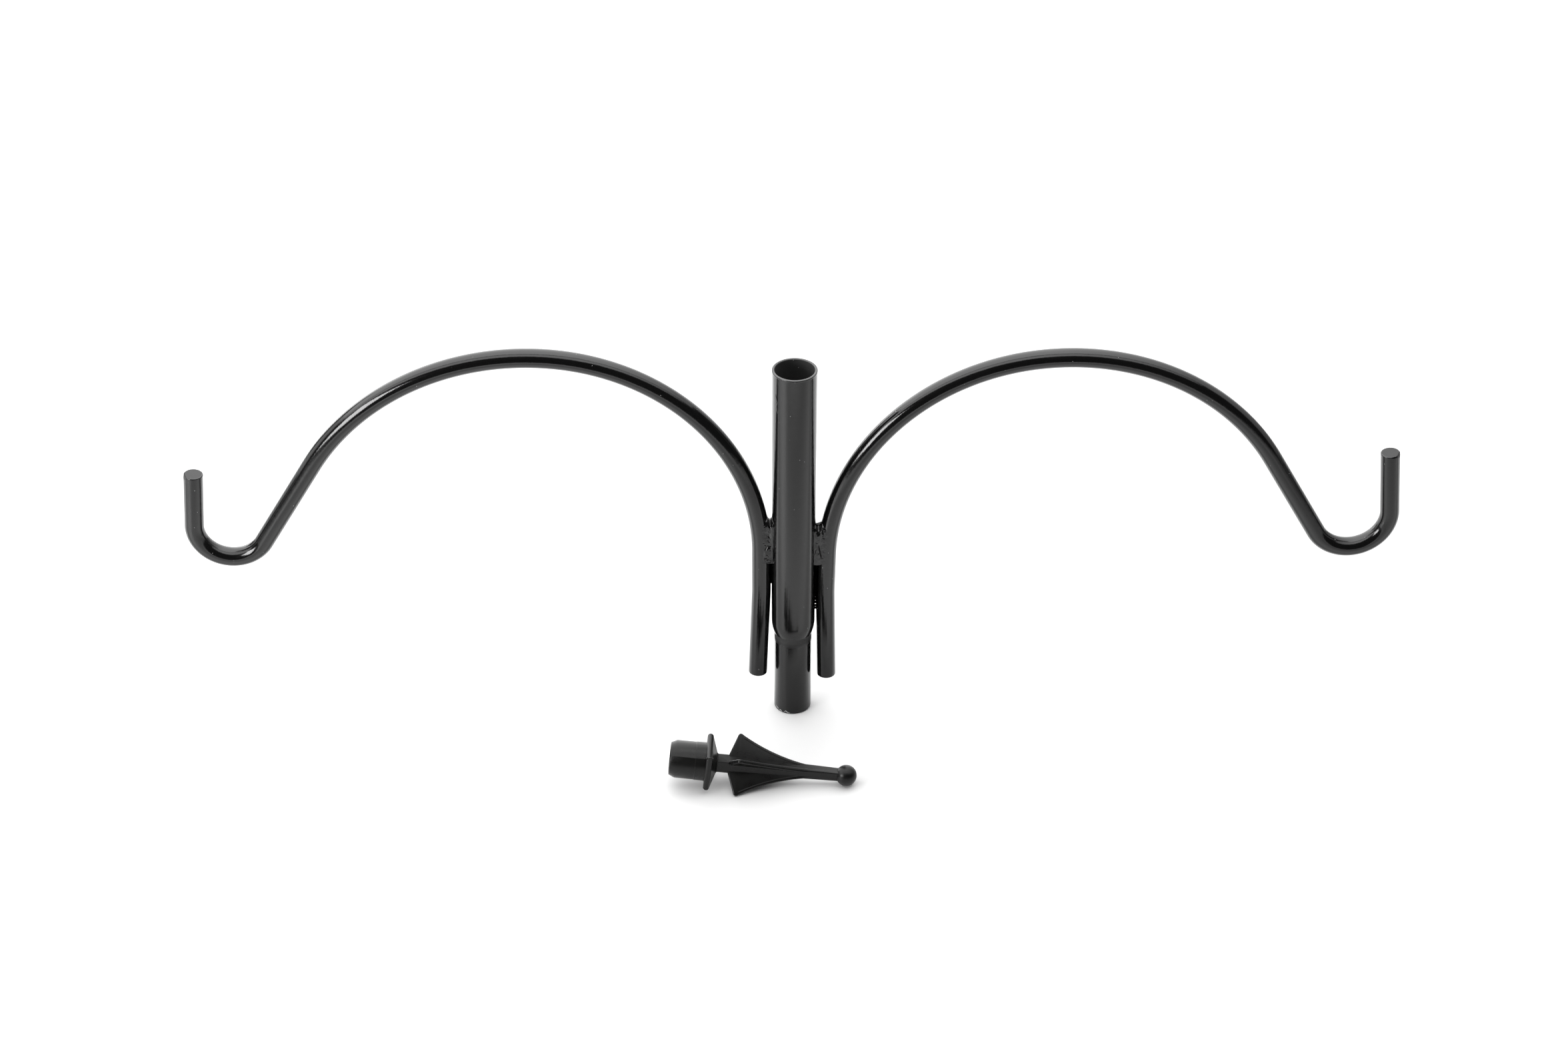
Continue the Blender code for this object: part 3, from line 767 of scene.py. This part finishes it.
class Arm:
    """One arm's sizes and the route of its bar in the plane of the arms."""

    def __init__(self, side_name):
        leg, seat, crown_slope, hook, weld = ARM_SIZES[side_name]
        foot_height, leg_length, leg_lean = leg
        seat_gap, seat_length, seat_lean = seat
        incline_length, hook_radius, hook_turn, tip_length = hook
        self.side = SIDES[side_name]
        self.chips = TIP_CHIPS[side_name]
        self.weld_height, self.weld_length = weld
        seat_x = TUBE_DIAMETER / 2 + seat_gap + ROD_DIAMETER / 2
        bulge = KNEE_RADIUS * (math.cos(seat_lean) - math.cos(leg_lean))
        foot_x = seat_x + bulge + leg_length * math.sin(leg_lean)
        pen = Pen(foot_x, foot_height, math.pi / 2 + leg_lean)
        pen.straight(leg_length)
        pen.bend(KNEE_RADIUS, -leg_lean - seat_lean, ARCH_STEP)
        pen.straight(seat_length)
        pen.bend(INNER_ARCH_RADIUS, crown_slope - pen.heading, ARCH_STEP)
        self.rise = pen.points[:]
        pen.bend(OUTER_ARCH_RADIUS, -OUTER_ARCH_TURN, ARCH_STEP)
        pen.straight(incline_length)
        pen.bend(hook_radius, hook_turn, HOOK_STEP)
        pen.straight(tip_length - CHIP_ZONE)
        for _ in range(CHIP_STEPS):
            pen.straight(CHIP_ZONE / CHIP_STEPS)
        self.points = pen.points

    def centre(self, height):
        """Distance from the pole's axis to the bar's middle, at a height below the crown."""
        out, up, _ = zip(*self.rise)
        return float(np.interp(height, up, out))

    def ring(self, x, z, heading, radius):
        across = (-math.sin(heading), math.cos(heading))
        ring = []
        for turn in np.linspace(0, 2 * math.pi, ROD_SIDES, endpoint=False):
            out = radius * math.cos(turn)
            ring.append((self.side * (x + out * across[0]), POLE_Y + radius * math.sin(turn),
                         z + out * across[1]))
        return ring

    def end_rings(self, x, z, heading, hand):
        """Rings of a cut end, from the middle of its face out and round its edge."""
        radius = ROD_DIAMETER / 2
        flat = radius - ROD_EDGE
        rings = [self.ring(x, z, heading, flat * (step + 0.5) / (CAP_RINGS + 0.5))
                 for step in range(CAP_RINGS)]
        for inset, back in arc(0, 0, ROD_EDGE, math.pi / 2, 0, EDGE_STEPS):
            shift = hand * (ROD_EDGE - back)
            rings.append(self.ring(x + shift * math.cos(heading), z + shift * math.sin(heading),
                                   heading, flat + inset))
        return rings

    def mesh(self, name):
        radius = ROD_DIAMETER / 2
        rings = self.end_rings(*self.points[0], 1)
        rings += [self.ring(*point, radius) for point in self.points[1:-1]]
        rings += self.end_rings(*self.points[-1], -1)[::-1]
        mesh = ring_mesh(name, rings, False)
        self.chip(mesh)
        ends = [Vector((self.side * x, POLE_Y, z))
                for x, z, _ in (self.points[0], self.points[-1])]
        mark_dull(mesh, lambda place: END_DULLNESS * any(
            (place - end).length < radius - ROD_EDGE for end in ends))
        return mesh

    def chip(self, mesh):
        """Cuts small facets off the tip's rim, where the coat and the edge are chipped."""
        x, z, heading = self.points[-1]
        end = Vector((self.side * x, POLE_Y, z))
        along = Vector((self.side * math.cos(heading), 0, math.sin(heading)))
        for turn, lift, depth in self.chips:
            outward = Vector((math.cos(turn), -math.sin(turn), 0))
            normal = outward * math.cos(lift) + along * math.sin(lift)
            limit = (ROD_DIAMETER / 2 - depth) * math.cos(lift)
            for vertex in mesh.vertices:
                place = vertex.co - end
                if place.length < CHIP_ZONE + ROD_DIAMETER / 2:
                    vertex.co -= max(0, place.dot(normal) - limit) * normal


# Weld beads

def dome(across, up, lump):
    """How far a lump stands out: a rounded hill with a soft foot."""
    centre_across, centre_up, half_width, half_height, rise = lump
    gap = ((across - centre_across) / half_width) ** 2 + ((up - centre_up) / half_height) ** 2
    return rise * max(0, 1 - gap) ** WELD_LUMP_POWER


def groove(across, up, line):
    """How deep a fold is cut: a narrow valley along a line, running out at its ends."""
    start_across, start_up, end_across, end_up, width, depth = line
    run_across, run_up = end_across - start_across, end_up - start_up
    along = (((across - start_across) * run_across + (up - start_up) * run_up)
             / (run_across ** 2 + run_up ** 2))
    along = min(max(along, 0), 1)
    gap = math.hypot(across - start_across - along * run_across, up - start_up - along * run_up)
    wave = math.pi * (FOLD_END_SHARE + (1 - 2 * FOLD_END_SHARE) * along)
    return depth * math.exp(-(gap / width) ** 2) * math.sqrt(math.sin(wave))


def valley_top(arm, across):
    """Height of a bead's top above its foot: lowest in the middle of the open valley."""
    tube_side = TUBE_DIAMETER / 2 - WELD_SADDLE_OVERLAP
    bar_side = (arm.centre(arm.weld_height + arm.weld_length) - ROD_DIAMETER / 2
                + WELD_SADDLE_OVERLAP)
    off_middle = (2 * across - tube_side - bar_side) / (bar_side - tube_side)
    return arm.weld_length + WELD_HORN - WELD_SADDLE * max(0, 1 - off_middle ** 2)


def weld_row(row, top):
    """Height on the bead, and how much of its bulge is left there: less and less in its roll."""
    share = row / WELD_STEPS_UP
    straight = 1 - WELD_ROLL_SHARE
    if share < straight:
        return (top - WELD_TOP_ROLL) * share / straight, 1
    turn = WELD_ROLL_END * (share - straight) / WELD_ROLL_SHARE
    return top - WELD_TOP_ROLL * (1 - math.sin(turn)), math.cos(turn)


def weld_mesh(name, arm, face, lumps, folds):
    """Fillet from the tube's side to the bar's face, rolled over on top and cut flat below."""
    tube_y = math.sqrt((TUBE_DIAMETER / 2) ** 2 - WELD_TUBE_SIDE ** 2)
    rod_y = ROD_DIAMETER / 2 - WELD_SUNK
    foot = arm.weld_height
    rings = []
    for row in range(WELD_STEPS_UP + 1):
        ring = []
        for column in range(WELD_STEPS_ACROSS + 1):
            way = column / WELD_STEPS_ACROSS
            across = WELD_TUBE_SIDE + (arm.centre(foot + arm.weld_length) - WELD_TUBE_SIDE) * way
            up, bulge = weld_row(row, valley_top(arm, across))
            across = WELD_TUBE_SIDE + (arm.centre(foot + up) - WELD_TUBE_SIDE) * way
            proud = tube_y + (rod_y - tube_y) * way
            proud -= WELD_DISH * math.sin(math.pi * way) ** 2
            middle = math.sqrt(math.sin(math.pi * way))
            proud += sum(dome(across, up, lump) for lump in lumps) * middle
            proud -= sum(groove(across, up, fold) for fold in folds) * middle
            rolled = up + WELD_TOP_ROLL * (1 - bulge)
            rough = turbulence(Vector((across, rolled + face, arm.side)) / WELD_ROUGH_SIZE)
            proud += WELD_ROUGH * rough * middle
            near = min(1, up / WELD_FOOT_ROUND)
            proud -= WELD_FOOT_ROUND * (1 - math.sqrt(1 - (1 - near) ** 2))
            ring.append((arm.side * across, POLE_Y + face * proud * bulge, foot + up))
        rings.append(ring + [(x, POLE_Y, z) for x, _, z in reversed(ring)])
    return ring_mesh(name, rings, False)


def turbulence(point):
    return noise_at(point) + noise_at(point * WELD_ROUGH_STEP) / 2


def web_mesh(name, arm, spans):
    """Coat that closes the gap between leg and tube, between pairs of heights."""
    webs = []
    for low, high in spans:
        rings = []
        for height in np.linspace(low, high, WEB_STEPS + 1):
            inner = TUBE_DIAMETER / 2 - WEB_SUNK
            outer = arm.centre(height) - ROD_DIAMETER / 2 + WEB_SUNK
            rings.append([(arm.side * across, POLE_Y + deep * WEB_THICKNESS / 2, height)
                          for across, deep in ((inner, -1), (outer, -1), (outer, 1), (inner, 1))])
        webs.append(ring_mesh(name, rings, False))
    join_meshes(webs[0], webs[1:])
    return webs[0]


# Finial

def bake(obj):
    """Replaces the object's data by its evaluated mesh, with loose seams welded."""
    depsgraph = bpy.context.evaluated_depsgraph_get()
    mesh = bpy.data.meshes.new_from_object(obj.evaluated_get(depsgraph))
    bm = bmesh.new()
    bm.from_mesh(mesh)
    bmesh.ops.remove_doubles(bm, verts=bm.verts, dist=MERGE_DISTANCE)
    bm.to_mesh(mesh)
    bm.free()
    baked = new_object(obj.name + "_baked", mesh)
    bpy.data.objects.remove(obj, do_unlink=True)
    return baked


def turned(name, points, sides):
    """Profile of (radius, height) points, turned about Z."""
    mesh = bpy.data.meshes.new(name)
    mesh.from_pydata([(radius, 0, height) for radius, height in points],
                     [(i, i + 1) for i in range(len(points) - 1)], [])
    obj = new_object(name, mesh)
    screw = obj.modifiers.new("turn", "SCREW")
    screw.steps = sides
    screw.render_steps = sides
    screw.merge_threshold = MERGE_DISTANCE
    screw.use_merge_vertices = True
    return bake(obj)


def barrel_profile():
    outer = TUBE_DIAMETER / 2 - TUBE_WALL - BARREL_SLACK
    body = outer - BARREL_STEP_HEIGHT
    hollow = body - BARREL_WALL
    end = -BARREL_LENGTH
    nose = body - BARREL_LEAD_DEPTH
    points = [(0, FLANGE_THICKNESS / 2), (outer, FLANGE_THICKNESS / 2),
              (outer, -BARREL_STEP_LENGTH), (body, -BARREL_STEP_LENGTH - BARREL_STEP_HEIGHT),
              (body, end + BARREL_LEAD_LENGTH)]
    points += arc(nose - BARREL_EDGE, end + BARREL_EDGE, BARREL_EDGE, 0, -math.pi / 2, NOSE_STEPS)
    points += arc(hollow + BARREL_EDGE / 2, end + BARREL_EDGE / 2, BARREL_EDGE / 2,
                  -math.pi / 2, -math.pi, MOUTH_STEPS)
    return points + [(hollow, -BARREL_FLOOR), (0, -BARREL_FLOOR)]


def core_profile():
    slope_top = FLANGE_THICKNESS + FLANGE_SLOPE_HEIGHT
    rim = FLANGE_THICKNESS / 2
    rim_centre = FLANGE_CORNER_RADIUS - rim
    points = [(0, BALL_HEIGHT), (NECK_CORNER_RADIUS, BALL_HEIGHT),
              (STEM_CORNER_RADIUS, FIN_ROOT_HEIGHT), (STEM_CORNER_RADIUS, slope_top)]
    points += arc(rim_centre, rim, rim, math.pi / 2, -math.pi / 2, FLANGE_RIM_STEPS)
    return points + [(0, 0)]


def sweep_radius(height):
    """Radius of the fins' concave edge, a round arc that meets the neck along the axis."""
    end_radius = NECK_CORNER_RADIUS - FIN_THICKNESS / 2
    sweep_end = BALL_HEIGHT - BALL_DIAMETER / 2
    rise = FIN_TIP_RADIUS - end_radius
    run = sweep_end - FIN_TIP_HEIGHT
    radius = (run ** 2 + rise ** 2) / (2 * rise)
    left = sweep_end - height
    return end_radius + radius - math.sqrt(radius ** 2 - left ** 2)


def fin_outline():
    """Outline of two opposite fins, drawn in by the rounding that the curve's bevel adds."""
    sweep_end = BALL_HEIGHT - BALL_DIAMETER / 2
    tip_radius = FIN_TIP_ROUND - FIN_EDGE
    back = math.atan2(FIN_TIP_HEIGHT - FIN_ROOT_HEIGHT, FIN_TIP_RADIUS - STEM_CORNER_RADIUS)
    tip_x = FIN_TIP_RADIUS - FIN_TIP_ROUND
    half = [(0, FIN_ROOT_HEIGHT), (STEM_CORNER_RADIUS - FIN_EDGE, FIN_ROOT_HEIGHT)]
    half += arc(tip_x, FIN_TIP_HEIGHT, tip_radius, back - math.pi / 2, math.pi / 4, TIP_STEPS)
    for step in range(1, SWEEP_STEPS + 1):
        height = FIN_TIP_HEIGHT + (sweep_end - FIN_TIP_HEIGHT) * step / SWEEP_STEPS
        half.append((sweep_radius(height) - FIN_EDGE, height))
    mirrored = [(-x, z) for x, z in half[:0:-1]]
    return half + mirrored


def fin_pair(name, turn):
    curve = bpy.data.curves.new(name, "CURVE")
    curve.dimensions = "2D"
    curve.fill_mode = "BOTH"
    curve.extrude = FIN_THICKNESS / 2 - FIN_EDGE
    curve.bevel_depth = FIN_EDGE
    curve.bevel_resolution = FIN_EDGE_STEPS
    outline = fin_outline()
    spline = curve.splines.new("POLY")
    spline.points.add(len(outline) - 1)
    for point, (x, z) in zip(spline.points, outline):
        point.co = (x, z, 0, 1)
    spline.use_cyclic_u = True
    fins = bake(new_object(name, curve))
    fins.data.transform(Matrix.Rotation(turn, 4, "Z") @ Matrix.Rotation(math.pi / 2, 4, "X"))
    return fins


def finial_mesh():
    """The moulding as one closed surface, laid on the floor at its resting place."""
    core = turned("core", core_profile(), SQUARE_SIDES)
    corners = core.modifiers.new("corner_round", "BEVEL")
    corners.width = CORNER_ROUND
    corners.segments = CORNER_STEPS
    corners.limit_method = "ANGLE"
    corners.angle_limit = CORNER_LIMIT
    core = bake(core)
    bpy.ops.mesh.primitive_uv_sphere_add(
        segments=BALL_SEGMENTS, ring_count=BALL_SEGMENTS // 2, radius=BALL_DIAMETER / 2)
    ball = bpy.context.active_object
    ball.data.transform(Matrix.Translation((0, 0, BALL_HEIGHT)))
    barrel = turned("barrel", barrel_profile(), BARREL_SIDES)
    others = [core, fin_pair("fins_x", 0), fin_pair("fins_y", math.pi / 2), ball]
    for other in others:
        union = barrel.modifiers.new("union", "BOOLEAN")
        union.operation = "UNION"
        union.object = other
        union.solver = "EXACT"
    finial = bake(barrel)
    for other in others:
        bpy.data.objects.remove(other, do_unlink=True)
    mesh = finial.data
    bpy.data.objects.remove(finial, do_unlink=True)
    raise_ridges(mesh)
    join_meshes(mesh, [cord("line", points, radius, LINE_SIDES)
                       for radius, points in parting_lines() + fin_beads()])
    lay_down(mesh)
    return mesh


def raise_ridges(mesh):
    """Draws the barrel out to a soft ridge on both sides, where the mould's halves met.

    The middle of the hollow's floor, closer to the axis than the wall's thickness, stays.
    """
    for vertex in mesh.vertices:
        x, y, height = vertex.co
        radius = math.hypot(x, y)
        if height < -MERGE_DISTANCE and radius > BARREL_WALL:
            run = radius * math.atan2(abs(y), abs(x))
            rise = BARREL_RIDGE_HEIGHT * math.exp(-run / BARREL_RIDGE_RUN) - BARREL_RIDGE_SUNK
            share = (radius + rise) / radius
            vertex.co = (x * share, y * share, height)


def parting_lines():
    """Thickness and route of each line along which the mould's halves met, on two of the sides."""
    outer = TUBE_DIAMETER / 2 - TUBE_WALL - BARREL_SLACK + BARREL_RIDGE_HEIGHT - BARREL_RIDGE_SUNK
    body = outer - BARREL_STEP_HEIGHT
    rim = FLANGE_THICKNESS / 2
    crest = [(sweep_radius(height) - PARTING_SUNK, height)
             for height in np.linspace(FIN_TIP_HEIGHT + FIN_TIP_ROUND, BALL_HEIGHT, SWEEP_STEPS)]
    flange = arc(FLANGE_CORNER_RADIUS - rim, rim, rim - PARTING_SUNK, -math.pi / 2, math.pi / 2,
                 FLANGE_RIM_STEPS)
    routes = ((PARTING_RADIUS, [(body, BARREL_LEAD_LENGTH - BARREL_LENGTH),
                                (body, -BARREL_STEP_LENGTH), (outer, -BARREL_STEP_LENGTH),
                                (outer, 0)]),
              (FLANGE_BUMP_RADIUS, flange), (PARTING_RADIUS, crest))
    return [(width, [(hand * radius, 0, height) for radius, height in route])
            for hand in (-1, 1) for width, route in routes]


def fin_beads():
    """Thickness and route of the rounded border of each fin."""
    edge = [(sweep_radius(height) - FIN_BEAD_RADIUS, height)
            for height in np.linspace(FIN_TIP_HEIGHT, BALL_HEIGHT, SWEEP_STEPS)]
    return [(FIN_BEAD_RADIUS, [(radius * x, radius * y, height) for radius, height in edge])
            for x, y in ((1, 0), (0, 1), (-1, 0), (0, -1))]


def join_meshes(mesh, others):
    """Adds the others to the mesh."""
    bm = bmesh.new()
    bm.from_mesh(mesh)
    for other in others:
        bm.from_mesh(other)
    bm.to_mesh(mesh)
    bm.free()


def lay_down(mesh):
    """Turns the upright moulding to lie on two fins and its ball, ball end to the right."""
    points = np.array([vertex.co for vertex in mesh.vertices])
    along = points[:, 2]
    across = points[:, 0] * math.cos(FINIAL_ROLL) - points[:, 1] * math.sin(FINIAL_ROLL)
    fins = along < (FIN_TIP_HEIGHT + BALL_HEIGHT) / 2
    low, high = 0, REST_TILT_LIMIT
    for _ in range(REST_TRIALS):
        tilt = (low + high) / 2
        drop = across * math.cos(tilt) - along * math.sin(tilt)
        if drop[fins].min() < drop[~fins].min():
            low = tilt
        else:
            high = tilt
    turn = (Matrix.Rotation(FINIAL_HEADING, 4, "Z")
            @ Matrix.Rotation(math.pi / 2 + tilt, 4, "Y")
            @ Matrix.Rotation(FINIAL_ROLL, 4, "Z"))
    tips = turn @ Vector((0, 0, FIN_TIP_HEIGHT))
    place = (FINIAL_REST_X - tips.x, POLE_Y + FINIAL_REST_Y - tips.y, -drop.min())
    mesh.transform(Matrix.Translation(place) @ turn)


def main():
    add_camera()
    add_floor()
    add_lights()
    add_world()
    coat = powder_coat()
    # dead black that paints the shade in the gaps between legs and tube
    crevice_shade = crevice_painted_shade()
    add_skin("pole_tube", tube_mesh(), coat, "hanger")
    for side in SIDES:
        arm = Arm(side)
        node = side + "_hook_arm"
        add_skin(node, arm.mesh(node), coat, "hanger")
        web = side + "_coat_web"
        add_piece(web, web_mesh(web, arm, WEBS[side]), crevice_shade, "hanger")
        for face_name, face in (("front", -1), ("rear", 1)):
            node = side + "_" + face_name + "_weld"
            mesh = weld_mesh(node, arm, face, WELD_LUMPS[side], WELD_FOLDS[side])
            add_skin(node, mesh, coat, "hanger")
    add_skin("finial", finial_mesh(), moulded_plastic(), "finial",
             FINIAL_SHARP_ANGLE)


main()
